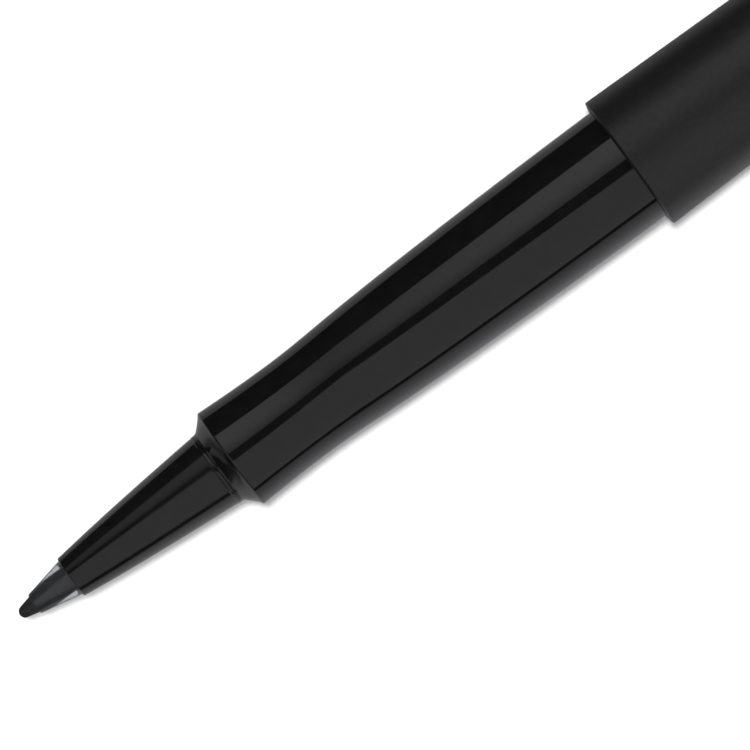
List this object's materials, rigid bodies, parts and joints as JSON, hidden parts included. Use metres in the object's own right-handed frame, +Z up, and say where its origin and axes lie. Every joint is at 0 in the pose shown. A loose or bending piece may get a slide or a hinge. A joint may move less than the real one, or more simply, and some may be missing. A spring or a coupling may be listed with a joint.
{
  "type": "felt-tip pen",
  "caption": "Felt-tip pen with a bullet nib in a clear guard, glossy nose cone and hourglass grip, matte tapered barrel, and a clip cap pushed onto its tail.",
  "frame": {"origin": "on the surface the pen lies on, in the middle of its length and width", "axes": "+X along the pen's axis, from the nib to the crown of the cap; +Z up; the pocket clip is on the -Y side, leaning down to the surface"},
  "size_m": [0.1704, 0.0152, 0.012],
  "materials": {
    "inked_fibre": "bonded fibre soaked with black ink, matt",
    "clear_plastic": "translucent, slightly frosted",
    "gloss_black": "polished moulding",
    "matte_black": "fine spark-eroded texture",
    "white_fibre": "bonded fibre bundle, ink-stained",
    "clear_film": "clear film",
    "white_plastic": "natural white moulding"
  },
  "bodies": {
    "pen": {"nib": "inked_fibre", "nib_guard": "clear_plastic", "nose_cone": "gloss_black", "grip_section": "gloss_black", "barrel": "matte_black", "end_plug": "gloss_black", "ink_reservoir": "white_fibre", "reservoir_sleeve": "clear_film", "breather_tube": "white_plastic"},
    "cap": {"cap_shell": "matte_black", "inner_cap": "white_plastic", "cap_crown": "gloss_black"},
    "clip": {"pocket_clip": "matte_black"}
  },
  "joints": [
    {"name": "cap_slide", "type": "slide", "parent": "pen", "child": "cap", "axis": [1, 0, 0], "range_m": [0, 0.045]},
    {"name": "clip_flex", "type": "hinge", "parent": "cap", "child": "clip", "pos_m": [0.08305, -0.00295, 0.00425], "axis": [0, -0.3592, 0.9333], "range_deg": [0, 4], "stiffness_Nm_per_rad": 0.1}
  ]
}
